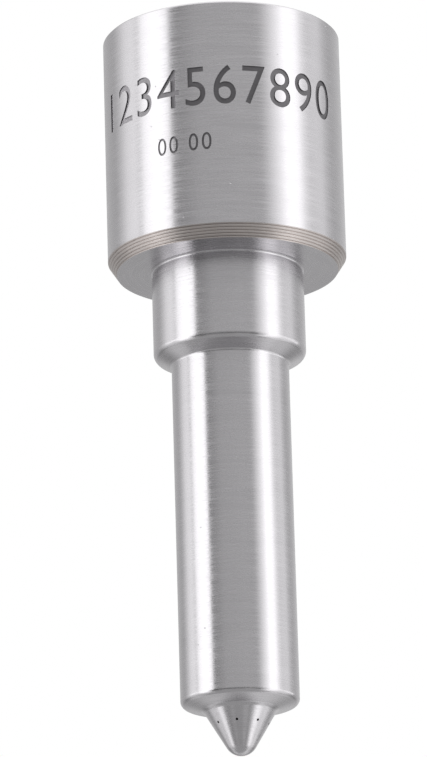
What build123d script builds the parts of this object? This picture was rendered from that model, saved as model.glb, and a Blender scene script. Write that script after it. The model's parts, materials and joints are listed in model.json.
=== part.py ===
"""Hole-type diesel injector nozzle: a ground steel body and the needle valve that slides in it.

Millimetres. +Z is the nozzle's axis and points away from the combustion chamber. The origin is the
centre of the lapped sealing face, so the whole body lies below Z = 0 and the tip points down.
The fuel inlet is on the +Y side, and the spray holes are set out from that same plane.
"""

import math
import os

from build123d import *

# Body, outside
COLLAR_R = 14.3 / 2  # the part that the retaining nut holds
COLLAR_EDGE = 0.12  # edge break round the sealing face
COLLAR_LENGTH = 14.70  # sealing face to clamping shoulder
CHAMFER_WIDTH = 0.51  # radial width of the turned chamfer under the collar
CHAMFER_HEIGHT = 0.78
UNDERCUT_R = 4.46  # shallow conical relief between shoulder and neck
UNDERCUT_LENGTH = 0.50
UNDERCUT_CORNER_R = 0.13
NECK_R = 9.1 / 2
NECK_END = -20.00  # where the neck's side would meet its lower cone
NECK_CORNER_R = 0.40
NECK_DROP = 0.57  # height of the cone from neck to stem
STEM_R = 7.0 / 2
STEM_END = -41.32
STEM_CORNER_R = 0.32
STEM_DROP = 0.38  # height of the shallow end cone
TIP_BASE_R = 2.165  # where the tip cone starts
TIP_HALF_ANGLE = 30.7
TIP_CORNER_R = 0.45  # hollow corner where the tip leaves the end cone
TIP_R = 1.0  # rounded end of the tip

# Body, inside
GUIDE_BORE_R = 4.0 / 2
MOUTH_CHAMFER = 0.25
GALLERY_TOP = -12.90
GALLERY_R = 3.05
GALLERY_LENGTH = 4.60
GALLERY_TAPER = 1.10  # height of the gallery's conical ends
STEM_BORE_R = 3.9 / 2
SEAT_HALF_ANGLE = 30.0
SAC_R = 0.60
SAC_TOP = -42.00
SAC_LENGTH = 0.60  # straight part, above its round floor

# Fuel inlet, locating holes and spray holes
INLET_R = 1.6 / 2
INLET_MOUTH_Y = 4.90
INLET_END_Y = 2.70
INLET_END_Z = -14.30
DOWEL_R = 2.0 / 2
DOWEL_DEPTH = 3.5
DOWEL_PITCH_R = 5.0
DOWEL_ANGLE = 115.0  # either side of the inlet
SPRAY_COUNT = 8
SPRAY_R = 0.15 / 2
SPRAY_DROP = 18.5  # degrees below square to the axis, for a 143 degree spray
SPRAY_OUTLET_Z = -42.57

# Needle
GUIDE_CLEARANCE = 0.012  # radial, in the guide bore
NEEDLE_GUIDE_R = GUIDE_BORE_R - GUIDE_CLEARANCE
SPIGOT_R = 2.4 / 2
SPIGOT_TOP = 1.60  # above the sealing face
SPIGOT_CHAMFER = 0.25
GUIDE_TOP = -0.35  # the guide's shoulder stays this far below the sealing face
GUIDE_END = -12.50
GUIDE_CHAMFER = 0.15
GROOVE_COUNT = 3
GROOVE_FIRST_Z = -3.00
GROOVE_PITCH = 2.60
GROOVE_WIDTH = 0.35
GROOVE_DEPTH = 0.12
SHAFT_R = 3.1 / 2
SHOULDER_HEIGHT = 0.75  # pressure shoulder from guide to shaft
LOWER_GUIDE_TOP = -34.00
LOWER_GUIDE_LENGTH = 3.40
LOWER_GUIDE_TAPER = 0.40
LOWER_GUIDE_R = STEM_BORE_R - GUIDE_CLEARANCE
FLAT_COUNT = 4
FLAT_DISTANCE = 1.62  # axis to each fuel flat
SEAT_R = 1.15  # radius of the sealing edge
SEAT_GAP = 0.010
ENTRY_HALF_ANGLE = 22.0  # needle cone above the sealing edge
SEAL_HALF_ANGLE = 31.0  # needle cone below it
POINT_BASE_R = 0.52
POINT_HALF_ANGLE = 60.0
POINT_R = 0.20  # radius of the small flat end

STEM_START = NECK_END - NECK_DROP
STEM_BORE_TOP = GALLERY_TOP - GALLERY_LENGTH


def cone_height(wide, narrow, half_angle):
    """Height over which a cone of that half angle goes from one radius to the other."""
    return (wide - narrow) / math.tan(math.radians(half_angle))


SEAT_TOP = SAC_TOP + cone_height(STEM_BORE_R, SAC_R, SEAT_HALF_ANGLE)
SEAT_Z = SAC_TOP + cone_height(SEAT_R, SAC_R, SEAT_HALF_ANGLE)  # body seat at the sealing edge


def body_blank():
    """Outside of the nozzle body, from the sealing face down to the rounded tip."""
    half = math.radians(TIP_HALF_ANGLE)
    tip_base_z = STEM_END - STEM_DROP
    round_r = TIP_R * math.cos(half)
    round_z = tip_base_z - cone_height(TIP_BASE_R, round_r, TIP_HALF_ANGLE)
    centre_z = round_z + TIP_R * math.sin(half)
    corners = [
        (0, 0),
        (COLLAR_R - COLLAR_EDGE, 0),
        (COLLAR_R, -COLLAR_EDGE),
        (COLLAR_R, CHAMFER_HEIGHT - COLLAR_LENGTH),
        (COLLAR_R - CHAMFER_WIDTH, -COLLAR_LENGTH),
        (UNDERCUT_R, -COLLAR_LENGTH),
        (NECK_R, -COLLAR_LENGTH - UNDERCUT_LENGTH),
        (NECK_R, NECK_END),
        (STEM_R, STEM_START),
        (STEM_R, STEM_END),
        (TIP_BASE_R, tip_base_z),
        (round_r, round_z),
    ]
    with BuildPart() as blank:
        with BuildSketch(Plane.XZ):
            with BuildLine():
                Polyline(*corners)
                middle = math.radians((TIP_HALF_ANGLE - 90) / 2)
                ThreePointArc(
                    (round_r, round_z),
                    (TIP_R * math.sin(-middle), centre_z - TIP_R * math.cos(middle)),
                    (0, centre_z - TIP_R),
                )
                Line((0, centre_z - TIP_R), (0, 0))
            make_face()
        revolve(axis=Axis.Z)
        rounded = [(NECK_R, NECK_END, NECK_CORNER_R), (STEM_R, STEM_END, STEM_CORNER_R)]
        for radius, height, corner in rounded:
            fillet(circle_edges(blank, radius, height), corner)
        fillet(circle_edges(blank, UNDERCUT_R, -COLLAR_LENGTH), UNDERCUT_CORNER_R)
        fillet(circle_edges(blank, STEM_R, STEM_START), NECK_CORNER_R / 2)
        fillet(circle_edges(blank, TIP_BASE_R, tip_base_z), TIP_CORNER_R)
    return blank.part


def circle_edges(built, radius, height):
    """Edges of a turned part that are circles of that radius at that height."""
    return [
        edge
        for edge in built.edges().filter_by(GeomType.CIRCLE)
        if abs(edge.radius - radius) < 1e-4 and abs(edge.center().Z - height) < 1e-4
    ]


def bore():
    """Everything that is hollow on the axis: guide bore, gallery, stem bore, seat and sac."""
    gallery_end = GALLERY_TOP - GALLERY_LENGTH
    sac_floor = SAC_TOP - SAC_LENGTH
    above = 1.0
    corners = [
        (0, above),
        (GUIDE_BORE_R + MOUTH_CHAMFER + above, above),
        (GUIDE_BORE_R, -MOUTH_CHAMFER),
        (GUIDE_BORE_R, GALLERY_TOP),
        (GALLERY_R, GALLERY_TOP - GALLERY_TAPER),
        (GALLERY_R, gallery_end + GALLERY_TAPER),
        (STEM_BORE_R, gallery_end),
        (STEM_BORE_R, SEAT_TOP),
        (SAC_R, SAC_TOP),
        (SAC_R, sac_floor),
    ]
    with BuildPart() as hollow:
        with BuildSketch(Plane.XZ):
            with BuildLine():
                Polyline(*corners)
                diagonal = SAC_R * math.sqrt(0.5)
                ThreePointArc(
                    (SAC_R, sac_floor),
                    (diagonal, sac_floor - diagonal),
                    (0, sac_floor - SAC_R),
                )
                Line((0, sac_floor - SAC_R), (0, above))
            make_face()
        revolve(axis=Axis.Z)
        for height in (GALLERY_TOP - GALLERY_TAPER, gallery_end + GALLERY_TAPER):
            fillet(circle_edges(hollow, GALLERY_R, height), GALLERY_TAPER * 0.7)
    return hollow.part


def drill(start, direction, radius, depth, before=0.0):
    """Round hole from a point along a direction, begun a little before that point."""
    way = Vector(*direction).normalized()
    foot = Vector(*start) - way * before
    align = (Align.CENTER, Align.CENTER, Align.MIN)
    return Plane(origin=foot, z_dir=way) * Cylinder(radius, depth + before, align=align)


def fuel_inlet():
    """Sloping feed hole from the sealing face to the gallery."""
    start = Vector(0, INLET_MOUTH_Y, 0)
    way = Vector(0, INLET_END_Y, INLET_END_Z) - start
    return drill(start, way, INLET_R, way.length, before=1.0)


def dowel_holes():
    """Two blind holes that locate the nozzle against its holder, either side of the inlet."""
    holes = []
    for side in (-1, 1):
        angle = math.radians(90 + side * DOWEL_ANGLE)
        x, y = DOWEL_PITCH_R * math.cos(angle), DOWEL_PITCH_R * math.sin(angle)
        holes.append(drill((x, y, 0), (0, 0, -1), DOWEL_R, DOWEL_DEPTH, before=0.5))
    return holes


def spray_holes():
    """Fine holes through the tip cone, evenly spaced, from the sac to the outside."""
    tip_base_z = STEM_END - STEM_DROP
    outlet_r = TIP_BASE_R - (tip_base_z - SPRAY_OUTLET_Z) * math.tan(math.radians(TIP_HALF_ANGLE))
    drop = math.radians(SPRAY_DROP)
    inward = (outlet_r - SAC_R / 2) / math.cos(drop)
    holes = []
    for number in range(SPRAY_COUNT):
        turn = math.radians(-90 + number * 360 / SPRAY_COUNT)
        outlet = (outlet_r * math.cos(turn), outlet_r * math.sin(turn), SPRAY_OUTLET_Z)
        way = (
            -math.cos(drop) * math.cos(turn),
            -math.cos(drop) * math.sin(turn),
            math.sin(drop),
        )
        holes.append(drill(outlet, way, SPRAY_R, inward, before=0.4))
    return holes


def nozzle_body():
    """The one-piece nozzle body with all its holes."""
    body = body_blank() - bore() - fuel_inlet()
    for hole in [*dowel_holes(), *spray_holes()]:
        body = body - hole
    return body


def nozzle_needle():
    """The needle valve, closed on its seat."""
    seat_z = SEAT_Z + SEAT_GAP
    lower_end = LOWER_GUIDE_TOP - LOWER_GUIDE_LENGTH
    entry_z = seat_z + cone_height(SHAFT_R, SEAT_R, ENTRY_HALF_ANGLE)
    point_z = seat_z - cone_height(SEAT_R, POINT_BASE_R, SEAL_HALF_ANGLE)
    end_z = point_z - cone_height(POINT_BASE_R, POINT_R, POINT_HALF_ANGLE)
    corners = [
        (0, SPIGOT_TOP),
        (SPIGOT_R - SPIGOT_CHAMFER, SPIGOT_TOP),
        (SPIGOT_R, SPIGOT_TOP - SPIGOT_CHAMFER),
        (SPIGOT_R, GUIDE_TOP),
        (NEEDLE_GUIDE_R - GUIDE_CHAMFER, GUIDE_TOP),
        (NEEDLE_GUIDE_R, GUIDE_TOP - GUIDE_CHAMFER),
    ]
    for number in range(GROOVE_COUNT):
        groove_z = GROOVE_FIRST_Z - number * GROOVE_PITCH
        floor_r = NEEDLE_GUIDE_R - GROOVE_DEPTH
        corners += [
            (NEEDLE_GUIDE_R, groove_z),
            (floor_r, groove_z),
            (floor_r, groove_z - GROOVE_WIDTH),
            (NEEDLE_GUIDE_R, groove_z - GROOVE_WIDTH),
        ]
    corners += [
        (NEEDLE_GUIDE_R, GUIDE_END),
        (SHAFT_R, GUIDE_END - SHOULDER_HEIGHT),
        (SHAFT_R, LOWER_GUIDE_TOP),
        (LOWER_GUIDE_R, LOWER_GUIDE_TOP - LOWER_GUIDE_TAPER),
        (LOWER_GUIDE_R, lower_end + LOWER_GUIDE_TAPER),
        (SHAFT_R, lower_end),
        (SHAFT_R, entry_z),
        (SEAT_R, seat_z),
        (POINT_BASE_R, point_z),
        (POINT_R, end_z),
        (0, end_z),
    ]
    blank = revolve(Plane.XZ * make_face(Polyline(*corners, close=True)), axis=Axis.Z)
    for number in range(FLAT_COUNT):
        turn = Rotation(0, 0, 45 + number * 360 / FLAT_COUNT)
        block = Box(2, 4, LOWER_GUIDE_LENGTH + 1)
        place = Location((FLAT_DISTANCE + 1, 0, LOWER_GUIDE_TOP - LOWER_GUIDE_LENGTH / 2))
        blank = blank - turn * place * block
    return blank


def main():
    """Writes one STEP file for each of the two pieces."""
    os.makedirs("parts", exist_ok=True)
    pieces = {"nozzle_body": nozzle_body(), "nozzle_needle": nozzle_needle()}
    for name, piece in pieces.items():
        print(name, "solids", len(piece.solids()), "volume", round(piece.volume, 2))
        export_step(piece, f"parts/{name}.step")


main()
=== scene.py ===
"""Fuel injector nozzle: the finished surfaces of its body and needle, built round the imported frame.

Sizes are in millimetres until a mesh is made, and +Z runs along the nozzle away from its spray tip.
The sealing face at the top of the collar is at Z = 0, and azimuths are degrees round the axis,
counted from -Y towards +X.
"""

import json
import logging
import math
from dataclasses import dataclass, field
from enum import Enum
from typing import Any, Callable, Iterable, Sequence

import bmesh
import bpy
from mathutils import Matrix, Vector


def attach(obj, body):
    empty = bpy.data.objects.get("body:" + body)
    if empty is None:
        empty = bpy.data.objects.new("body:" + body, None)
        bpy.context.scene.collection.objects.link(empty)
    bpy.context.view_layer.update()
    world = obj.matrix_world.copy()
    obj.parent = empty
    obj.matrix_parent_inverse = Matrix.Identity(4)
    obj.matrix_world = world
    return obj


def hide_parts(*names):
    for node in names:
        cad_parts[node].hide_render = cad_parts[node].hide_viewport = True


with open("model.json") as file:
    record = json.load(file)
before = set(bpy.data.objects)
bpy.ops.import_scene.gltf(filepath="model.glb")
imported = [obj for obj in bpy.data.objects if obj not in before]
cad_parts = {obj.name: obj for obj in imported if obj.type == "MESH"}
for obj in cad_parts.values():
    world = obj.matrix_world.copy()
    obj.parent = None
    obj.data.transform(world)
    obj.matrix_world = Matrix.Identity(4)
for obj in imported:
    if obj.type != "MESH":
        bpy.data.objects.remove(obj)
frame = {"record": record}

log = logging.getLogger("injector_nozzle")

MM = 0.001  # metres in one millimetre
TOUCH = 1e-7  # metres within which two points are one
FACETS = 256  # flats round one full turn of a turned surface
DRILL_FACETS = 48  # flats round a drilled hole
WIDE_STEPS = 10  # facets across a rounding that shows
SLOPE = "slope"  # face-corner attribute: the surface normal's angle above the horizontal
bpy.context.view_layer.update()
MOUNTS: dict[str, dict[str, Any]] = {m["name"]: m for m in frame["record"]["mounts"]}

Point = tuple[float, float]


def mount_radius(name: str) -> float:
    """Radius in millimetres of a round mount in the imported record."""
    return MOUNTS[name]["dims"]["r_mm"]


def mount_place(name: str) -> Vector:
    """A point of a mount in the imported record, in millimetres."""
    return Vector(MOUNTS[name]["pos_m"]) / MM


def compass(azimuth: float) -> Vector:
    """Unit vector square to the axis at an azimuth in degrees, 0 at -Y and 90 at +X."""
    turn = math.radians(azimuth)
    return Vector((math.sin(turn), -math.cos(turn), 0))


# ---------------------------------------------------------------------------------------------
# Node helpers
# ---------------------------------------------------------------------------------------------

# Inputs of a Map Range node, in order: what it follows, where it starts and ends, and what it
# gives there and beyond.
RANGE = ("Value", "From Min", "From Max", "To Min", "To Max")


def linear(hex_colour: str) -> tuple[float, float, float, float]:
    """Turns an sRGB hex colour into the linear RGBA that a shader socket takes.

    Args:
        hex_colour: Six hex digits, with or without a leading hash.

    Returns:
        Linear red, green and blue, with an alpha of 1.
    """
    digits = hex_colour.lstrip("#")
    shares = [int(digits[i : i + 2], 16) / 255 for i in (0, 2, 4)]
    red, green, blue = (s / 12.92 if s <= 0.04045 else ((s + 0.055) / 1.055) ** 2.4 for s in shares)
    return red, green, blue, 1.0


def add_node(
    tree: bpy.types.NodeTree,
    kind: str,
    inputs: dict[Any, Any] | None = None,
    **settings: Any,
) -> bpy.types.Node:
    """Adds a node, sets its properties, and fills or links its inputs.

    Args:
        tree: The node tree to add to.
        kind: The node's type name, such as ShaderNodeMath.
        inputs: Input name or number to a value, or to an output socket to link from.
        settings: Properties of the node itself.

    Returns:
        The new node.
    """
    node = tree.nodes.new(kind)
    for name, value in settings.items():
        setattr(node, name, value)
    for key, value in (inputs or {}).items():
        if isinstance(value, bpy.types.NodeSocket):
            tree.links.new(value, node.inputs[key])
        else:
            node.inputs[key].default_value = value
    return node


def bare_material(name: str) -> bpy.types.Material:
    """Makes a material with an empty node tree.

    Args:
        name: The material's name.

    Returns:
        The new material.
    """
    made = bpy.data.materials.new(name)
    made.use_nodes = True
    made.node_tree.nodes.clear()
    return made


def give_light(material: bpy.types.Material, level: float | bpy.types.NodeSocket) -> None:
    """Finishes a bare material so that it gives plain white light.

    Args:
        material: The material.
        level: How bright it is, where 1 is plain white, or a socket that says so.
    """
    glow = add_node(material.node_tree, "ShaderNodeEmission", {"Strength": level})
    add_node(material.node_tree, "ShaderNodeOutputMaterial", {"Surface": glow.outputs[0]})


# ---------------------------------------------------------------------------------------------
# Finishes
# ---------------------------------------------------------------------------------------------

MARK_RANGE = (0.25, 0.75)  # where nearly all of one pattern of marks lies
BOTH_RANGE = (0.6, 1.4)  # where nearly all of the sum of two lies
BAND_PITCH = 7  # how many times wider a band of marks is than one mark
BAND_LENGTH = 3  # how many times longer it is
PIT_FLOOR = 0.5  # radius of a pit's flat floor, as a share of its rim's
QUARTER_TURN = 0.25  # share of a full turn that sets highlights along the axis, not round it


@dataclass(frozen=True)
class MachinedSteel:
    """Bare steel with the fine marks that a wheel or a tool leaves as the piece turns.

    The marks run round the axis, so highlights spread along it: that is the finish's satin look.

    Attributes:
        name: What the finish is, as a maker would say it.
        colour: sRGB hex of the metal.
        roughness: Roughness across the marks and along them together.
        anisotropy: How much further a highlight spreads across the marks than along them.
        line_pitch: Distance between neighbouring marks, in millimetres.
        line_length: How far one mark runs round the axis, in millimetres.
        line_height: Height of the marks in millimetres, which tilts the surface.
        roughness_swing: How much rougher or smoother a mark may be than its neighbours.
        tone_swing: How much lighter or darker a mark may be than its neighbours.
        pit_spacing: Typical distance between small pits and nicks, in millimetres, or 0 for none.
        pit_radius: Radius of a pit's rim, in millimetres.
        pit_depth: Depth of a pit, in millimetres.
        metallic: 1 for bare metal, less where a dull film covers part of it.
    """

    name: str
    colour: str
    roughness: float
    anisotropy: float
    line_pitch: float
    line_length: float
    line_height: float
    roughness_swing: float
    tone_swing: float
    pit_spacing: float = 0.0
    pit_radius: float = 0.055
    pit_depth: float = 0.014
    metallic: float = 1.0

    def material(self) -> bpy.types.Material:
        """Builds the node material of this finish.

        Returns:
            The new material.
        """
        made = bare_material(self.name)
        tree = made.node_tree
        marks = self._marks(tree, self.line_pitch, self.line_length)
        bands = self._marks(tree, self.line_pitch * BAND_PITCH, self.line_length * BAND_LENGTH)
        ends = (self.roughness - self.roughness_swing, self.roughness + self.roughness_swing)
        spread = add_node(
            tree, "ShaderNodeMapRange", dict(zip(RANGE, (marks, *MARK_RANGE, *ends)))
        )
        both = add_node(tree, "ShaderNodeMath", {0: marks, 1: bands}, operation="ADD")
        ends = (1 - self.tone_swing, 1.0)
        tone = add_node(
            tree, "ShaderNodeMapRange", dict(zip(RANGE, (both.outputs[0], *BOTH_RANGE, *ends)))
        )
        relief = add_node(
            tree, "ShaderNodeMath", {0: marks, 1: self.line_height * MM}, operation="MULTIPLY"
        )
        if self.pit_spacing:
            relief = add_node(
                tree,
                "ShaderNodeMath",
                {0: self._pits(tree), 1: self.pit_depth * MM, 2: relief.outputs[0]},
                operation="MULTIPLY_ADD",
            )
        colour = add_node(
            tree,
            "ShaderNodeVectorMath",
            {0: linear(self.colour)[:3], "Scale": tone.outputs[0]},
            operation="SCALE",
        )
        metres = {"Strength": 1.0, "Distance": 1.0, "Height": relief.outputs[0]}
        bump = add_node(tree, "ShaderNodeBump", metres)
        around = add_node(tree, "ShaderNodeTangent", direction_type="RADIAL", axis="Z")
        metal = add_node(
            tree,
            "ShaderNodeBsdfPrincipled",
            {
                "Base Color": colour.outputs[0],
                "Metallic": self.metallic,
                "Roughness": spread.outputs[0],
                "Anisotropic": self.anisotropy,
                "Anisotropic Rotation": QUARTER_TURN,
                "Normal": bump.outputs[0],
                "Tangent": around.outputs[0],
            },
        )
        add_node(tree, "ShaderNodeOutputMaterial", {"Surface": metal.outputs[0]})
        return made

    def _marks(self, tree: bpy.types.NodeTree, pitch: float, length: float) -> bpy.types.NodeSocket:
        """Adds a pattern of marks that run round the axis on cylinders, cones and flat ends alike.

        Args:
            tree: The material's node tree.
            pitch: Distance between marks, in millimetres.
            length: How far a mark runs round the axis, in millimetres.

        Returns:
            The pattern's output, about 0.5 on average.
        """
        place = add_node(tree, "ShaderNodeTexCoord").outputs["Object"]
        flat = add_node(
            tree, "ShaderNodeVectorMath", {0: place, 1: (1, 1, 0)}, operation="MULTIPLY"
        ).outputs[0]
        reach = add_node(tree, "ShaderNodeVectorMath", {0: flat}, operation="LENGTH")
        level = add_node(tree, "ShaderNodeSeparateXYZ", {0: place})
        along = add_node(
            tree,
            "ShaderNodeMath",
            {0: reach.outputs["Value"], 1: level.outputs["Z"]},
            operation="ADD",
        )
        spot = add_node(
            tree,
            "ShaderNodeCombineXYZ",
            {0: level.outputs["X"], 1: level.outputs["Y"], 2: along.outputs[0]},
        )
        scaled = add_node(
            tree,
            "ShaderNodeVectorMath",
            {0: spot.outputs[0], 1: (1 / (length * MM), 1 / (length * MM), 1 / (pitch * MM))},
            operation="MULTIPLY",
        )
        noise = add_node(
            tree,
            "ShaderNodeTexNoise",
            {"Vector": scaled.outputs[0], "Scale": 1.0, "Detail": 2.0, "Roughness": 0.6},
        )
        return noise.outputs[0]

    def _pits(self, tree: bpy.types.NodeTree) -> bpy.types.NodeSocket:
        """Adds sparse small pits.

        Args:
            tree: The material's node tree.

        Returns:
            The pattern's output: 1 on clean metal, 0 inside a pit.
        """
        place = add_node(tree, "ShaderNodeTexCoord").outputs["Object"]
        cells = add_node(
            tree,
            "ShaderNodeTexVoronoi",
            {"Vector": place, "Scale": 1 / (self.pit_spacing * MM)},
            feature="F1",
        )
        rim = self.pit_radius / self.pit_spacing
        ends = (cells.outputs["Distance"], PIT_FLOOR * rim, rim, 0.0, 1.0)
        return add_node(tree, "ShaderNodeMapRange", dict(zip(RANGE, ends))).outputs[0]


# Hardened steel, cylindrically ground: a clean satin grey with close lines round the axis. Real
# grinding lines are a few hundredths of a millimetre apart; these are drawn at a tenth to show.
GROUND_STEEL = MachinedSteel(
    name="ground_hardened_steel",
    colour="#D0CED1",
    roughness=0.26,
    anisotropy=0.7,
    line_pitch=0.10,
    line_length=2.6,
    line_height=0.00026,
    roughness_swing=0.08,
    tone_swing=0.07,
    pit_spacing=1.3,
)
# The same steel as the lathe left it before hardening: duller, warmer and plainly ringed.
TURNED_STEEL = MachinedSteel(
    name="turned_hardened_steel",
    colour="#C8C1BE",
    roughness=0.35,
    anisotropy=0.3,
    line_pitch=0.06,
    line_length=5.0,
    line_height=0.0006,
    roughness_swing=0.06,
    tone_swing=0.18,
)
# The sealing face, lapped flat: close to a mirror, with a faint haze.
LAPPED_STEEL = MachinedSteel(
    name="lapped_hardened_steel",
    colour="#D4D3D5",
    roughness=0.2,
    anisotropy=0.0,
    line_pitch=0.5,
    line_length=0.7,
    line_height=0.0001,
    roughness_swing=0.04,
    tone_swing=0.04,
)
# Drilled, eroded and honed inside walls: a darker grey than the outside surfaces.
BORED_STEEL = MachinedSteel(
    name="bored_hardened_steel",
    colour="#8F8D8F",
    roughness=0.38,
    anisotropy=0.3,
    line_pitch=0.12,
    line_length=3.0,
    line_height=0.0005,
    roughness_swing=0.08,
    tone_swing=0.15,
)
# The floor and walls of the stamped figures: rough and darkened by the marking tool.
MARKED_STEEL = MachinedSteel(
    name="marked_hardened_steel",
    colour="#6E6C6F",
    roughness=0.34,
    anisotropy=0.2,
    line_pitch=0.05,
    line_length=0.3,
    line_height=0.0008,
    roughness_swing=0.08,
    tone_swing=0.2,
    metallic=0.55,
)
# The needle is tool steel, lapped to its bore: smoother and slightly darker than the body.
NEEDLE_STEEL = MachinedSteel(
    name="lapped_needle_steel",
    colour="#C3C2C6",
    roughness=0.2,
    anisotropy=0.6,
    line_pitch=0.08,
    line_length=3.5,
    line_height=0.0002,
    roughness_swing=0.05,
    tone_swing=0.05,
)


# ---------------------------------------------------------------------------------------------
# Turned shapes
# ---------------------------------------------------------------------------------------------


@dataclass(frozen=True)
class Ring:
    """A corner that runs right round a turned shape, and the radius that it is rounded to.

    Attributes:
        radius: Distance of the corner from the axis, in millimetres.
        height: Its Z, in millimetres.
        rounding: Radius of its rounding, in millimetres.
        steps: Facets across the rounding.
    """

    radius: float
    height: float
    rounding: float
    steps: int = 6


def arc(centre: Point, radius: float, start: float, end: float, steps: int) -> list[Point]:
    """Points on a round stretch of a half section.

    Args:
        centre: Centre of the arc as (distance from the axis, height).
        radius: Its radius.
        start: Angle of the first point, in degrees above the horizontal.
        end: Angle of the last point.
        steps: Number of chords.

    Returns:
        The points from start to end, both included.
    """
    turns = [math.radians(start + (end - start) * i / steps) for i in range(steps + 1)]
    return [
        (centre[0] + radius * math.cos(turn), centre[1] + radius * math.sin(turn))
        for turn in turns
    ]


def drop(wide: float, narrow: float, half_angle: float) -> float:
    """Height over which a cone of that half angle in degrees goes from one radius to another."""
    return (wide - narrow) / math.tan(math.radians(half_angle))


def turn_section(section: Sequence[Point]) -> bmesh.types.BMesh:
    """Spins a half section round Z into a closed shape.

    Args:
        section: Points as (distance from the axis, height) in millimetres, both ends on the axis.

    Returns:
        The turned shape, in metres, with its faces pointing outwards.
    """
    shape = bmesh.new()
    points = [shape.verts.new((radius * MM, 0, height * MM)) for radius, height in section]
    edges = [shape.edges.new(pair) for pair in zip(points, points[1:])]
    bmesh.ops.spin(
        shape,
        geom=points + edges,
        cent=(0, 0, 0),
        axis=(0, 0, 1),
        angle=math.tau,
        steps=FACETS,
        use_merge=True,
    )
    bmesh.ops.remove_doubles(shape, verts=shape.verts, dist=TOUCH)
    bmesh.ops.recalc_face_normals(shape, faces=shape.faces)
    return shape


def round_ring(shape: bmesh.types.BMesh, ring: Ring) -> None:
    """Rounds one corner ring of a turned shape to its true radius.

    Args:
        shape: The turned shape.
        ring: The corner and its rounding.
    """
    corner = [
        edge
        for edge in shape.edges
        if all(
            abs(math.hypot(v.co.x, v.co.y) - ring.radius * MM) < TOUCH
            and abs(v.co.z - ring.height * MM) < TOUCH
            for v in edge.verts
        )
    ]
    bend = corner[0].calc_face_angle()
    bmesh.ops.bevel(
        shape,
        geom=corner,
        offset=ring.rounding * MM * math.tan(bend / 2),
        offset_type="OFFSET",
        affect="EDGES",
        segments=ring.steps,
        profile=0.5,
        material=-1,
    )


def slope_of(face: bmesh.types.BMFace) -> float:
    """Angle of a turned face's normal above the horizontal, past a right angle on inside walls.

    Args:
        face: A face of the turned shape.

    Returns:
        The angle in radians.
    """
    centre = face.calc_center_median()
    outward = Vector((centre.x, centre.y, 0)).normalized()
    return math.atan2(face.normal.z, face.normal @ outward)


def note_slopes(shape: bmesh.types.BMesh, blend_below: float = 25.0) -> None:
    """Writes at each face corner the slope that the true round surface has there.

    Neighbours that meet at less than blend_below degrees are one smooth surface, where the larger
    face sets the slope; other corners stay sharp. Later cuts carry the values along.

    Args:
        shape: The turned shape, before anything is cut from it.
        blend_below: Largest angle between two faces that still blend, in degrees.
    """
    layer = shape.loops.layers.float.new(SLOPE)
    limit = math.radians(blend_below)
    slopes = {face: slope_of(face) for face in shape.faces}
    areas = {face: face.calc_area() for face in shape.faces}
    for face in shape.faces:
        own = slopes[face]
        for corner in face.loops:
            near = [f for f in corner.vert.link_faces if abs(slopes[f] - own) < limit]
            weights = [areas[f] ** 2 for f in near]
            total = sum(slopes[f] * w for f, w in zip(near, weights))
            corner[layer] = total / sum(weights)


def finished_mesh(shape: bmesh.types.BMesh, name: str) -> bpy.types.Mesh:
    """Moves a bmesh into a new mesh and frees it.

    Args:
        shape: The shape, which can't be used afterwards.
        name: The mesh's name.

    Returns:
        The new mesh.
    """
    mesh = bpy.data.meshes.new(name)
    shape.to_mesh(mesh)
    shape.free()
    return mesh


def placed(name: str, mesh: bpy.types.Mesh | bpy.types.Curve) -> bpy.types.Object:
    """Puts a mesh in the scene as an object at the origin.

    Args:
        name: The object's name.
        mesh: Its mesh, or its curve.

    Returns:
        The new object.
    """
    made = bpy.data.objects.new(name, mesh)
    bpy.context.scene.collection.objects.link(made)
    return made


def cut_away(piece: bpy.types.Object, cutters: Iterable[bpy.types.Object]) -> None:
    """Subtracts cutters from a piece for good, and removes them.

    The new walls keep the cutters' materials.

    Args:
        piece: The piece to cut.
        cutters: Closed objects in the same frame.
    """
    for cutter in cutters:
        cut = piece.modifiers.new("cut", "BOOLEAN")
        cut.operation = "DIFFERENCE"
        cut.solver = "MANIFOLD"
        cut.material_mode = "TRANSFER"
        cut.object = cutter
        graph = bpy.context.evaluated_depsgraph_get()
        result = bpy.data.meshes.new_from_object(piece.evaluated_get(graph))
        piece.modifiers.clear()
        piece.data = result
        bpy.data.objects.remove(cutter)


def set_true_normals(piece: bpy.types.Object, turned: set[str]) -> None:
    """Shades a piece by the surfaces it stands for: exact on turned faces, flat on cut walls.

    Args:
        piece: The piece, with the slope attribute on its face corners.
        turned: Names of the materials whose faces are turned surfaces.
    """
    mesh = piece.data
    slopes = mesh.attributes[SLOPE].data
    is_turned = [slot.material.name in turned for slot in piece.material_slots]
    normals: list[Vector] = [Vector((0, 0, 1))] * len(mesh.loops)
    for face in mesh.polygons:
        face.use_smooth = True
        middle = Vector((face.center.x, face.center.y, 0))
        for index in face.loop_indices:
            if not is_turned[face.material_index]:
                normals[index] = face.normal.copy()
                continue
            spot = mesh.vertices[mesh.loops[index].vertex_index].co
            outward = Vector((spot.x, spot.y, 0))
            if outward.length < TOUCH:
                outward = middle
            slope = slopes[index].value
            normals[index] = outward.normalized() * math.cos(slope) + Vector(
                (0, 0, math.sin(slope))
            )
    mesh.normals_split_custom_set(normals)


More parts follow.
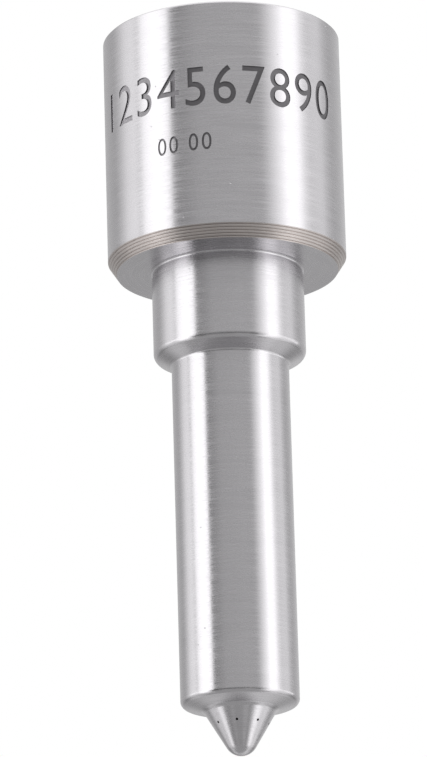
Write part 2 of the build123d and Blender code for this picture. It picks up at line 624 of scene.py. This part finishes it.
def drill(name: str, foot: Vector, way: Vector, radius: float, depth: float) -> bpy.types.Object:
    """Makes a round cutter that starts at foot and runs along way.

    Args:
        name: The cutter's name.
        foot: Centre of its first end, in millimetres.
        way: Direction that it runs in.
        radius: Its radius in millimetres.
        depth: Its length in millimetres.

    Returns:
        The cutter, without a material.
    """
    shape = bmesh.new()
    bmesh.ops.create_cone(
        shape,
        cap_ends=True,
        segments=DRILL_FACETS,
        radius1=radius * MM,
        radius2=radius * MM,
        depth=depth * MM,
        matrix=Matrix.Translation((0, 0, depth * MM / 2)),
    )
    turn = way.to_track_quat("Z", "X").to_matrix().to_4x4()
    shape.transform(Matrix.Translation(foot * MM) @ turn)
    return placed(name, finished_mesh(shape, name))


# ---------------------------------------------------------------------------------------------
# The nozzle body
# ---------------------------------------------------------------------------------------------


class Surface(Enum):
    """How a stretch of the body's surface was made, in the order of its material slots."""

    GROUND = 0
    TURNED = 1
    LAPPED = 2
    BORED = 3


@dataclass(frozen=True)
class MarkRow:
    """A row of plain counting figures stamped round the collar.

    Attributes:
        figures: The figures, left to right.
        first_azimuth: Azimuth of the first figure's middle, in degrees.
        pitch: Degrees from one figure to the next.
        baseline: Height of the figures' feet, in millimetres.
        cap_height: Height of a figure, in millimetres.
        width: How wide a figure is, as a share of its usual width.
        depth: How deep the figures go, in millimetres.
    """

    figures: str
    first_azimuth: float
    pitch: float
    baseline: float
    cap_height: float
    width: float
    depth: float


@dataclass
class NozzleBody:
    """The one-piece nozzle body, from its lapped sealing face down to the spray tip."""

    # Outside, from the top down.
    collar_edge: float = 0.12
    collar_length: float = 14.70
    chamfer_width: float = 0.51
    chamfer_height: float = 0.78
    chamfer_grooves: int = 5
    groove_depth: float = 0.042
    groove_outline: tuple[Point, ...] = ((0.35, 0.0), (0.6, 1.0), (0.85, 0.0))  # place, depth
    undercut_radius: float = 4.46
    undercut_length: float = 0.50
    undercut_corner: float = 0.13
    neck_end: float = -20.00
    neck_drop: float = 0.57
    neck_corner: float = 0.40
    stem_end: float = -41.32
    stem_drop: float = 0.38
    stem_corner: float = 0.32
    tip_base: float = 2.165
    tip_half_angle: float = 30.7
    tip_corner: float = 0.45
    tip_radius: float = 1.0
    # Inside, from the top down.
    guide_bore: float = 2.0
    mouth_chamfer: float = 0.25
    gallery_top: float = -12.90
    gallery_radius: float = 3.05
    gallery_length: float = 4.60
    gallery_taper: float = 1.10
    gallery_corner: float = 0.77
    stem_bore: float = 1.95
    seat_half_angle: float = 30.0
    sac_radius: float = 0.60
    sac_top: float = -42.00
    sac_length: float = 0.60
    # Drilled holes.
    inlet_end: Vector = field(default_factory=lambda: Vector((0, 2.70, -14.30)))
    drill_start: float = 1.0  # how far above the sealing face the drills start
    dowel_depth: float = 3.5
    spray_count: int = 8
    spray_radius: float = 0.075
    spray_drop: float = 18.5
    spray_outlet: float = -42.57
    spray_start: float = 0.4  # how far outside the tip their drill starts
    # Stamped figures.
    stamp_reach: float = 0.4  # how far a stamp stands out of the collar
    cap_share: float = 0.73  # a figure's height as a share of its font size
    rows: tuple[MarkRow, ...] = (
        MarkRow("1234567890", -60.6, 13.87, -6.5, 2.55, 0.9, 0.07),
        MarkRow("00", -23.0, 6.2, -9.32, 1.12, 0.85, 0.045),
        MarkRow("00", -6.8, 6.4, -9.32, 1.12, 0.85, 0.045),
    )

    def inner_section(self) -> list[Point]:
        """Half section of the hollow, from the floor of the sac up to the sealing face.

        Returns:
            Its points as (distance from the axis, height) in millimetres.
        """
        gallery_end = self.gallery_top - self.gallery_length
        seat_top = self.sac_top + drop(self.stem_bore, self.sac_radius, self.seat_half_angle)
        centre = (0.0, self.sac_top - self.sac_length)
        floor = arc(centre, self.sac_radius, -90, 0, WIDE_STEPS)
        return [
            *[(0.0, floor[0][1]), *floor[1:]],
            (self.sac_radius, self.sac_top),
            (self.stem_bore, seat_top),
            (self.stem_bore, gallery_end),
            (self.gallery_radius, gallery_end + self.gallery_taper),
            (self.gallery_radius, self.gallery_top - self.gallery_taper),
            (self.guide_bore, self.gallery_top),
            (self.guide_bore, -self.mouth_chamfer),
            (self.guide_bore + self.mouth_chamfer, 0),
        ]

    def chamfer_section(self) -> list[Point]:
        """Half section of the turned chamfer, with the rings that the lathe tool left on it.

        Returns:
            Its points from the top down, in the same way.
        """
        top = Vector((mount_radius("collar"), self.chamfer_height - self.collar_length))
        foot = Vector((top.x - self.chamfer_width, -self.collar_length))
        inward = Vector((top.y - foot.y, foot.x - top.x)).normalized() * -self.groove_depth
        points = [top]
        for number in range(self.chamfer_grooves):
            for share, depth in self.groove_outline:
                along = (number + share) / self.chamfer_grooves
                points.append(top.lerp(foot, along) + inward * depth)
        points.append(foot)
        return [(point.x, point.y) for point in points]

    def outer_section(self) -> list[Point]:
        """Half section of the outside, from the edge of the sealing face down to the tip.

        Returns:
            Its points from the top down, in the same way.
        """
        collar, neck, stem = (mount_radius(name) for name in ("collar", "neck", "stem"))
        tip_top = self.stem_end - self.stem_drop
        half = math.radians(self.tip_half_angle)
        round_radius = self.tip_radius * math.cos(half)
        round_height = tip_top - drop(self.tip_base, round_radius, self.tip_half_angle)
        centre = (0.0, round_height + self.tip_radius * math.sin(half))
        tip = arc(centre, self.tip_radius, -self.tip_half_angle, -90, WIDE_STEPS + 2)
        return [
            (collar - self.collar_edge, 0),
            (collar, -self.collar_edge),
            *self.chamfer_section(),
            (self.undercut_radius, -self.collar_length),
            (neck, -self.collar_length - self.undercut_length),
            (neck, self.neck_end),
            (stem, self.neck_end - self.neck_drop),
            (stem, self.stem_end),
            (self.tip_base, tip_top),
            *tip[:-1],
            (0.0, tip[-1][1]),
        ]

    def roundings(self) -> list[Ring]:
        """Lists the corners that are rounded.

        Returns:
            The corners, with their radii.
        """
        neck, stem = mount_radius("neck"), mount_radius("stem")
        ends = (self.gallery_taper, self.gallery_length - self.gallery_taper)
        gallery = [self.gallery_top - end for end in ends]
        return [
            Ring(neck, self.neck_end, self.neck_corner, WIDE_STEPS),
            Ring(stem, self.neck_end - self.neck_drop, self.neck_corner / 2),
            Ring(stem, self.stem_end, self.stem_corner, WIDE_STEPS),
            Ring(self.tip_base, self.stem_end - self.stem_drop, self.tip_corner, WIDE_STEPS),
            Ring(self.undercut_radius, -self.collar_length, self.undercut_corner),
            *[Ring(self.gallery_radius, height, self.gallery_corner) for height in gallery],
        ]

    def surface_of(self, face: bmesh.types.BMFace) -> Surface:
        """Says how the stretch of surface that a face lies on was made.

        Args:
            face: A face of the turned blank.

        Returns:
            The way it was made.
        """
        leans_in, level = -0.01, 0.99  # shares of a normal, past which a face is a bore's or flat
        centre = face.calc_center_median() / MM
        radius = math.hypot(centre.x, centre.y)
        outward = Vector((centre.x, centre.y, 0)).normalized()
        if face.normal @ outward < leans_in or (radius < self.sac_radius and face.normal.z > 0):
            return Surface.BORED
        if face.normal.z > level:
            return Surface.LAPPED
        chamfer_top = self.chamfer_height - self.collar_length
        if radius > mount_radius("collar") - self.chamfer_width and centre.z < chamfer_top:
            return Surface.TURNED
        return Surface.GROUND

    def blank(self) -> bpy.types.Object:
        """Turns the body, rounds its corners and gives each surface its material.

        Returns:
            The body before anything is cut from it.
        """
        shape = turn_section([*self.inner_section(), *self.outer_section()])
        for ring in self.roundings():
            round_ring(shape, ring)
        shape.normal_update()
        note_slopes(shape)
        for face in shape.faces:
            face.material_index = self.surface_of(face).value
        body = placed("nozzle_body_ground", finished_mesh(shape, "nozzle_body_ground"))
        for finish in (GROUND_STEEL, TURNED_STEEL, LAPPED_STEEL, BORED_STEEL):
            body.data.materials.append(finish.material())
        return body

    def drilled_holes(self) -> list[bpy.types.Object]:
        """Makes cutters for the fuel inlet, the two locating holes and the spray holes.

        Returns:
            The cutters.
        """
        mouth = mount_place("fuel_inlet")
        way = (self.inlet_end - mouth).normalized()
        foot = mouth - way * self.drill_start
        depth = (self.inlet_end - foot).length
        cutters = [drill("inlet_drill", foot, way, mount_radius("fuel_inlet"), depth)]
        for name in ("dowel_hole_1", "dowel_hole_2"):
            top = mount_place(name)
            top.z = self.drill_start
            depth = self.dowel_depth + self.drill_start
            cutters.append(
                drill(f"{name}_drill", top, Vector((0, 0, -1)), mount_radius(name), depth)
            )
        return cutters + [self.spray_drill(number) for number in range(self.spray_count)]

    def spray_drill(self, number: int) -> bpy.types.Object:
        """Makes the cutter for one spray hole, from outside the tip cone to the sac.

        Args:
            number: The hole's place round the tip.

        Returns:
            The cutter.
        """
        outward = compass(number * 360 / self.spray_count)
        below_base = self.stem_end - self.stem_drop - self.spray_outlet
        outlet_radius = self.tip_base - below_base * math.tan(math.radians(self.tip_half_angle))
        fall = math.radians(self.spray_drop)
        way = Vector((0, 0, math.sin(fall))) - outward * math.cos(fall)
        outlet = outward * outlet_radius + Vector((0, 0, self.spray_outlet))
        foot = outlet - way * self.spray_start
        depth = self.spray_start + (outlet_radius - self.sac_radius / 2) / math.cos(fall)
        return drill(f"spray_drill_{number}", foot, way, self.spray_radius, depth)

    def figure_stamps(self) -> list[bpy.types.Object]:
        """Makes cutters for every stamped figure.

        Returns:
            The cutters.
        """
        return [
            self.figure_stamp(row, number, figure)
            for row in self.rows
            for number, figure in enumerate(row.figures)
        ]

    def figure_stamp(self, row: MarkRow, number: int, figure: str) -> bpy.types.Object:
        """Makes the cutter for one stamped figure, standing in the collar's side.

        Args:
            row: The row that the figure belongs to.
            number: Its place in the row.
            figure: The figure itself.

        Returns:
            The cutter, set square to the collar at its own azimuth.
        """
        letter = bpy.data.curves.new("figure", "FONT")
        letter.body = figure
        letter.align_x = "CENTER"
        letter.size = row.cap_height * MM / self.cap_share
        letter.extrude = (row.depth + self.stamp_reach) * MM / 2
        source = placed("figure", letter)
        graph = bpy.context.evaluated_depsgraph_get()
        mesh = bpy.data.meshes.new_from_object(source.evaluated_get(graph))
        bpy.data.objects.remove(source)
        shape = bmesh.new()
        shape.from_mesh(mesh)
        bmesh.ops.remove_doubles(shape, verts=shape.verts, dist=TOUCH)
        bmesh.ops.recalc_face_normals(shape, faces=shape.faces)
        azimuth = row.first_azimuth + number * row.pitch
        middle = mount_radius("collar") + (self.stamp_reach - row.depth) / 2
        stand = Matrix.Rotation(math.radians(90), 4, "X")
        turn = Matrix.Rotation(math.radians(azimuth), 4, "Z")
        place = compass(azimuth) * middle * MM + Vector((0, 0, row.baseline * MM))
        narrow = Matrix.Diagonal((row.width, 1, 1, 1))
        shape.transform(Matrix.Translation(place) @ turn @ stand @ narrow)
        name = f"stamp_{azimuth:.0f}"
        return placed(name, finished_mesh(shape, name))

    def build(self) -> bpy.types.Object:
        """Makes the finished body and puts it on the frame in place of its plain node.

        Returns:
            The finished body.
        """
        body = self.blank()
        holes = self.drilled_holes()
        bored = body.data.materials[Surface.BORED.value]
        for cutter in holes:
            cutter.data.materials.append(bored)
        stamps = self.figure_stamps()
        marked = MARKED_STEEL.material()
        for cutter in stamps:
            cutter.data.materials.append(marked)
        cut_away(body, [joined(holes), joined(stamps)])
        set_true_normals(body, {GROUND_STEEL.name, TURNED_STEEL.name, LAPPED_STEEL.name})
        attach(body, "body")
        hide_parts("nozzle_body")
        return body


def joined(parts: Sequence[bpy.types.Object]) -> bpy.types.Object:
    """Joins objects that don't touch and have the same material into the first one.

    Args:
        parts: The objects.

    Returns:
        The first one.
    """
    shape = bmesh.new()
    for part in parts:
        shape.from_mesh(part.data)
    first = parts[0]
    shape.to_mesh(first.data)
    shape.free()
    for part in parts[1:]:
        bpy.data.objects.remove(part)
    return first


# ---------------------------------------------------------------------------------------------
# The needle
# ---------------------------------------------------------------------------------------------


@dataclass
class NozzleNeedle:
    """The needle valve, lapped to slide in the body's guide bore."""

    guide_radius: float = 1.988
    spigot_top: float = 1.60
    spigot_chamfer: float = 0.25
    guide_top: float = -0.35
    guide_end: float = -12.50
    guide_chamfer: float = 0.15
    groove_count: int = 3
    groove_first: float = -3.00
    groove_pitch: float = 2.60
    groove_width: float = 0.35
    groove_depth: float = 0.12
    shaft_radius: float = 1.55
    shoulder_height: float = 0.75
    lower_top: float = -34.00
    lower_length: float = 3.40
    lower_taper: float = 0.40
    lower_radius: float = 1.938
    flat_count: int = 4
    flat_first: float = 45.0  # degrees
    flat_distance: float = 1.62
    cutter_thickness: float = 2.0
    cutter_width: float = 4.0
    seat_radius: float = 1.15
    seat_height: float = -41.037
    entry_half_angle: float = 22.0
    seal_half_angle: float = 31.0
    point_base: float = 0.52
    point_half_angle: float = 60.0
    point_radius: float = 0.20

    def section(self) -> list[Point]:
        """Half section of the needle, from its top down to its point.

        Returns:
            Its points as (distance from the axis, height) in millimetres.
        """
        spigot = mount_radius("needle_spigot")
        lower_end = self.lower_top - self.lower_length
        entry = self.seat_height + drop(self.shaft_radius, self.seat_radius, self.entry_half_angle)
        point = self.seat_height - drop(self.seat_radius, self.point_base, self.seal_half_angle)
        end = point - drop(self.point_base, self.point_radius, self.point_half_angle)
        points = [
            (0.0, self.spigot_top),
            (spigot - self.spigot_chamfer, self.spigot_top),
            (spigot, self.spigot_top - self.spigot_chamfer),
            (spigot, self.guide_top),
            (self.guide_radius - self.guide_chamfer, self.guide_top),
            (self.guide_radius, self.guide_top - self.guide_chamfer),
        ]
        for number in range(self.groove_count):
            top = self.groove_first - number * self.groove_pitch
            floor = self.guide_radius - self.groove_depth
            points += [
                (self.guide_radius, top),
                (floor, top),
                (floor, top - self.groove_width),
                (self.guide_radius, top - self.groove_width),
            ]
        return points + [
            (self.guide_radius, self.guide_end),
            (self.shaft_radius, self.guide_end - self.shoulder_height),
            (self.shaft_radius, self.lower_top),
            (self.lower_radius, self.lower_top - self.lower_taper),
            (self.lower_radius, lower_end + self.lower_taper),
            (self.shaft_radius, lower_end),
            (self.shaft_radius, entry),
            (self.seat_radius, self.seat_height),
            (self.point_base, point),
            (self.point_radius, end),
            (0.0, end),
        ]

    def flat_cutter(self, number: int) -> bpy.types.Object:
        """Makes the cutter for one of the flats that let fuel past the lower guide.

        Args:
            number: The flat's place round the needle.

        Returns:
            The cutter.
        """
        shape = bmesh.new()
        spare = 1.0  # how much longer the cutter is than the guide
        size = Vector((self.cutter_thickness, self.cutter_width, self.lower_length + spare))
        reach = self.flat_distance + self.cutter_thickness / 2
        middle = Vector((reach, 0, self.lower_top - self.lower_length / 2))
        bmesh.ops.create_cube(shape, size=1.0, matrix=Matrix.Diagonal((*(size * MM), 1)))
        azimuth = math.radians(self.flat_first + number * 360 / self.flat_count)
        turn = Matrix.Rotation(azimuth, 4, "Z")
        shape.transform(turn @ Matrix.Translation(middle * MM))
        name = f"flat_{number}"
        return placed(name, finished_mesh(shape, name))

    def build(self) -> bpy.types.Object:
        """Makes the finished needle and puts it on the frame in place of its plain node.

        Returns:
            The finished needle.
        """
        shape = turn_section(self.section())
        shape.normal_update()
        note_slopes(shape)
        needle = placed("nozzle_needle_lapped", finished_mesh(shape, "nozzle_needle_lapped"))
        needle.data.materials.append(NEEDLE_STEEL.material())
        flats = [self.flat_cutter(number) for number in range(self.flat_count)]
        ground = GROUND_STEEL.material()
        for cutter in flats:
            cutter.data.materials.append(ground)
        cut_away(needle, flats)
        set_true_normals(needle, {NEEDLE_STEEL.name})
        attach(needle, "needle")
        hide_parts("nozzle_needle")
        return needle


# ---------------------------------------------------------------------------------------------
# Studio and camera
# ---------------------------------------------------------------------------------------------


@dataclass(frozen=True)
class TentPanel:
    """One upright panel of the light tent, lit from behind.

    Attributes:
        name: Where it stands.
        start: Azimuth of one upright edge, in degrees rightwards from the camera's side.
        end: Azimuth of the other edge.
        start_level: Brightness at the first edge.
        end_level: Brightness at the other.
        mid_share: Brightness a little below the nozzle, as a share of that at its height.
        low_share: Brightness at the panel's foot, in the same way.
    """

    name: str
    start: float
    end: float
    start_level: float
    end_level: float
    mid_share: float
    low_share: float


@dataclass(frozen=True)
class TentCard:
    """A small card just inside the tent: black for a dark streak, or white for a glint.

    Attributes:
        name: Where it stands.
        start: Azimuth of one upright edge, in degrees rightwards from the camera's side.
        end: Azimuth of the other edge.
        bottom: Height of its lower edge, in metres.
        top: Height of its upper edge, in metres.
        level: How much light comes off it.
    """

    name: str
    start: float
    end: float
    bottom: float
    top: float
    level: float


@dataclass
class Studio:
    """A light tent round the nozzle, its pale floor, and the camera.

    The tent lights and mirrors in the steel, but the camera looks through it at plain white.
    """

    facing: float = 7.65  # azimuth of the camera, which the tent is turned to
    tent_radius: float = 1.0  # metres, as are the next eight
    tent_bottom: float = -1.3
    tent_top: float = 0.9
    mid_start: float = -0.15
    mid_end: float = -0.42
    low_start: float = -0.55
    low_end: float = -0.85
    card_radius: float = 0.95
    floor_level: float = -1.32
    panels: tuple[TentPanel, ...] = (
        TentPanel("left_edge", -52.0, -44.0, 0.30, 0.33, 0.4, 1.30),
        TentPanel("front_left", -44.0, -26.0, 0.35, 0.49, 0.25, 1.18),
        TentPanel("front", -26.0, 12.0, 0.50, 0.53, 0.22, 0.84),
        TentPanel("front_right", 12.0, 36.0, 0.54, 0.52, 0.25, 1.08),
        TentPanel("right_fade_in", 36.0, 60.0, 0.46, 1.55, 0.6, 0.64),
        TentPanel("right_softbox", 60.0, 80.0, 1.85, 1.75, 0.95, 0.80),
        TentPanel("right_fade_out", 80.0, 93.0, 1.30, 0.80, 1.1, 0.95),
        TentPanel("right_rear", 93.0, 112.0, 0.92, 0.98, 1.1, 0.95),
        TentPanel("right_back_fade", 112.0, 128.0, 0.78, 0.52, 0.9, 0.95),
        TentPanel("right_back", 128.0, 163.0, 0.54, 0.69, 0.55, 1.20),
        TentPanel("back_right", 163.0, 180.0, 0.70, 0.62, 0.66, 1.18),
        TentPanel("left_softbox_inner", -70.0, -52.0, 1.85, 1.75, 1.0, 0.24),
        TentPanel("left_softbox_outer", -86.0, -70.0, 1.60, 1.80, 1.15, 0.56),
        TentPanel("left_gap", -93.0, -86.0, 0.85, 0.95, 1.1, 0.70),
        TentPanel("left_rear", -112.0, -93.0, 1.05, 1.20, 0.75, 0.52),
        TentPanel("left_back_fade", -128.0, -112.0, 0.52, 0.92, 0.9, 0.90),
        TentPanel("left_back", -163.0, -128.0, 0.58, 0.50, 0.56, 1.34),
        TentPanel("back_left", -180.0, -163.0, 0.60, 0.59, 0.62, 1.22),
    )
    cards: tuple[TentCard, ...] = (
        TentCard("left_black_card", -62.0, -43.0, -0.68, -0.29, 0.02),
        TentCard("right_black_card", 37.0, 46.0, -0.70, -0.29, 0.06),
        TentCard("left_white_card", -108.0, -82.0, -0.22, 0.02, 1.65),
        TentCard("right_white_card", 84.0, 124.0, -0.24, 0.02, 1.45),
    )
    below_near: float = 0.42  # brightness of the sheet under the nozzle
    below_far: float = 0.90
    below_start: float = 0.50  # metres behind the nozzle, where it starts to change
    below_end: float = 0.75
    below_bearing: float = 40.0  # degrees by which the far side lies right of straight behind
    above_level: float = 1.25
    floor_light: float = 0.96
    floor_reach: float = 6.0  # metres
    card_facet: float = 3.0  # degrees
    disc_facets: int = 96
    strobe_azimuth: float = -100.0
    strobe_power: float = 110.0  # watts
    strobe_size: float = 0.3  # metres

    def build(self) -> None:
        """Makes the tent, the floor, the white surroundings, the strobe and the camera."""
        for panel in self.panels:
            self.stand_panel(panel)
        for card in self.cards:
            self.stand_card(card)
        self.lay_underlay()
        self.lay_roof()
        self.lay_floor()
        self.place_strobe()
        self.whiten_surroundings()
        Camera(self.facing).build()

    def bent_card(
        self, name: str, start: float, end: float, bottom: float, top: float, radius: float
    ) -> bpy.types.Object:
        """Makes an upright card bent round the nozzle.

        Args:
            name: The card's name.
            start: Azimuth of one edge from the camera's side, in degrees.
            end: Azimuth of the other edge.
            bottom: Height of its lower edge, in metres.
            top: Height of its upper edge.
            radius: Its distance from the axis.

        Returns:
            The card, without a material.
        """
        shape = bmesh.new()
        first = compass(start + self.facing) * radius
        foot = shape.verts.new(first + Vector((0, 0, bottom)))
        head = shape.verts.new(first + Vector((0, 0, top)))
        edge = shape.edges.new((foot, head))
        bmesh.ops.spin(
            shape,
            geom=[foot, head, edge],
            cent=(0, 0, 0),
            axis=(0, 0, 1),
            angle=math.radians(end - start),
            steps=max(2, round(abs(end - start) / self.card_facet)),
        )
        card = placed(name, finished_mesh(shape, name))
        self.hide_from_camera(card)
        return card

    def stand_panel(self, panel: TentPanel) -> None:
        """Puts one panel in the tent's wall and lights it.

        Args:
            panel: The panel.
        """
        name = f"tent_{panel.name}"
        ends = (self.tent_bottom, self.tent_top)
        card = self.bent_card(name, panel.start, panel.end, *ends, self.tent_radius)
        card.data.materials.append(self.panel_light(panel))

    def stand_card(self, card: TentCard) -> None:
        """Puts one card just inside the tent.

        Args:
            card: The card.
        """
        spread = (card.start, card.end, card.bottom, card.top)
        made = self.bent_card(card.name, *spread, self.card_radius)
        face = bare_material(f"{card.name}_face")
        give_light(face, card.level)
        made.data.materials.append(face)

    def panel_light(self, panel: TentPanel) -> bpy.types.Material:
        """Back-lit tent cloth: its brightness runs evenly across, and changes near its foot.

        Args:
            panel: The panel that the cloth is for.

        Returns:
            The cloth's material.
        """
        made = bare_material(f"tent_cloth_{panel.name}")
        tree = made.node_tree
        middle = math.radians((panel.start + panel.end) / 2 + self.facing)
        spun = self.turned_place(tree, -middle)
        front = add_node(
            tree, "ShaderNodeMath", {0: spun.outputs["Y"], 1: -1.0}, operation="MULTIPLY"
        )
        azimuth = add_node(
            tree,
            "ShaderNodeMath",
            {0: spun.outputs["X"], 1: front.outputs[0]},
            operation="ARCTAN2",
        )
        height = spun.outputs["Z"]
        half = math.radians(panel.end - panel.start) / 2
        foot = panel.low_share / panel.mid_share
        changes = (
            (azimuth.outputs[0], -half, half, panel.start_level, panel.end_level),
            (height, self.mid_end, self.mid_start, panel.mid_share, 1.0),
            (height, self.low_end, self.low_start, foot, 1.0),
        )
        level: float | bpy.types.NodeSocket = 1.0
        for change in changes:
            share = add_node(tree, "ShaderNodeMapRange", dict(zip(RANGE, change)))
            level = add_node(
                tree, "ShaderNodeMath", {0: level, 1: share.outputs[0]}, operation="MULTIPLY"
            ).outputs[0]
        give_light(made, level)
        return made

    def turned_place(self, tree: bpy.types.NodeTree, angle: float) -> bpy.types.Node:
        """Adds the place of a point of the cloth, turned round the nozzle's axis.

        Args:
            tree: The cloth's node tree.
            angle: How far it is turned, in radians.

        Returns:
            A node that gives its X, Y and Z.
        """
        place = add_node(tree, "ShaderNodeTexCoord").outputs["Object"]
        spun = add_node(
            tree,
            "ShaderNodeVectorRotate",
            {"Vector": place, "Angle": angle},
            rotation_type="Z_AXIS",
        )
        return add_node(tree, "ShaderNodeSeparateXYZ", {0: spun.outputs[0]})

    def disc(self, name: str, height: float) -> bpy.types.Object:
        """Makes a flat disc across the tent.

        Args:
            name: Its name.
            height: Its height, in metres.

        Returns:
            The disc, without a material.
        """
        shape = bmesh.new()
        bmesh.ops.create_circle(
            shape,
            cap_ends=True,
            radius=self.tent_radius,
            segments=self.disc_facets,
            matrix=Matrix.Translation((0, 0, height)),
        )
        made = placed(name, finished_mesh(shape, name))
        self.hide_from_camera(made)
        return made

    def lay_underlay(self) -> None:
        """Lays the grey sheet under the nozzle: dim below it, and brighter far behind."""
        made = bare_material("underlay_cloth")
        tree = made.node_tree
        spun = self.turned_place(tree, math.radians(self.below_bearing - self.facing))
        ends = (self.below_start, self.below_end, self.below_near, self.below_far)
        level = add_node(
            tree, "ShaderNodeMapRange", dict(zip(RANGE, (spun.outputs["Y"], *ends)))
        )
        give_light(made, level.outputs[0])
        self.disc("tent_underlay", self.tent_bottom).data.materials.append(made)

    def lay_roof(self) -> None:
        """Closes the tent's top with brightly lit cloth."""
        made = bare_material("roof_cloth")
        give_light(made, self.above_level)
        self.disc("tent_roof", self.tent_top).data.materials.append(made)

    def place_strobe(self) -> None:
        """Hangs a lamp on the left for dull surfaces alone: the panels stand for its reflection."""
        lamp = bpy.data.lights.new("strobe", "AREA")
        lamp.shape = "DISK"
        lamp.size = self.strobe_size
        lamp.energy = self.strobe_power
        strobe = bpy.data.objects.new("strobe", lamp)
        place = compass(self.strobe_azimuth + self.facing) * self.card_radius
        turn = (-place).to_track_quat("-Z", "Z").to_matrix().to_4x4()
        strobe.matrix_world = Matrix.Translation(place) @ turn
        strobe.visible_glossy = False
        strobe.visible_camera = False
        bpy.context.scene.collection.objects.link(strobe)

    def lay_floor(self) -> None:
        """Lays a plain pale table far below, lit from inside so that it takes no shadow."""
        shape = bmesh.new()
        height = Matrix.Translation((0, 0, self.floor_level))
        bmesh.ops.create_grid(shape, size=self.floor_reach, matrix=height)
        floor = placed("floor", finished_mesh(shape, "floor"))
        made = bare_material("opal_table_top")
        give_light(made, self.floor_light)
        floor.data.materials.append(made)

    def hide_from_camera(self, card: bpy.types.Object) -> None:
        """Leaves a tent piece to light and mirror, while the camera looks through it."""
        card.visible_camera = False

    def whiten_surroundings(self) -> None:
        """Sets plain white round everything."""
        world = bpy.data.worlds.new("white_surroundings")
        world.use_nodes = True
        background = world.node_tree.nodes["Background"]
        background.inputs["Color"].default_value = (1, 1, 1, 1)
        background.inputs["Strength"].default_value = 1.0
        bpy.context.scene.world = world
        bpy.context.scene.view_settings.view_transform = "Standard"


@dataclass
class Camera:
    """A long lens a foot away, a little below the nozzle and looking slightly up at it."""

    azimuth: float
    distance: float = 311.17  # millimetres from the axis
    height: float = -117.99
    pitch: float = 17.261  # degrees above the horizontal
    aim: float = -0.188  # degrees that it looks to the right of the axis
    roll: float = -1.633
    lens: float = 260.08
    film: float = 36.0
    nearest: float = 0.01  # metres
    furthest: float = 20.0

    def build(self) -> None:
        """Makes the camera and gives it to the scene."""
        data = bpy.data.cameras.new("camera")
        data.lens = self.lens
        data.sensor_width = self.film
        data.clip_start, data.clip_end = self.nearest, self.furthest
        camera = bpy.data.objects.new("camera", data)
        eye = compass(self.azimuth) * self.distance + Vector((0, 0, self.height))
        pitch, aim = math.radians(self.pitch), math.radians(self.aim)
        turn = Matrix.Rotation(math.radians(self.azimuth), 3, "Z")
        forward = turn @ Vector(
            (math.sin(aim) * math.cos(pitch), math.cos(aim) * math.cos(pitch), math.sin(pitch))
        )
        right = forward.cross(Vector((0, 0, 1))).normalized()
        upward = right.cross(forward)
        lean = math.radians(self.roll)
        right, upward = (
            right * math.cos(lean) + upward * math.sin(lean),
            upward * math.cos(lean) - right * math.sin(lean),
        )
        facing = Matrix((right, upward, -forward)).transposed().to_4x4()
        camera.matrix_world = Matrix.Translation(eye * MM) @ facing
        bpy.context.scene.collection.objects.link(camera)
        bpy.context.scene.camera = camera


def main() -> None:
    """Builds the body, the needle and the studio."""
    logging.basicConfig(level=logging.INFO, format="%(name)s %(message)s")
    makers: tuple[Callable[[], bpy.types.Object], ...] = (NozzleBody().build, NozzleNeedle().build)
    for make in makers:
        piece = make()
        log.info("%s: %d faces", piece.name, len(piece.data.polygons))
    Studio().build()


if __name__ == "__main__":
    main()
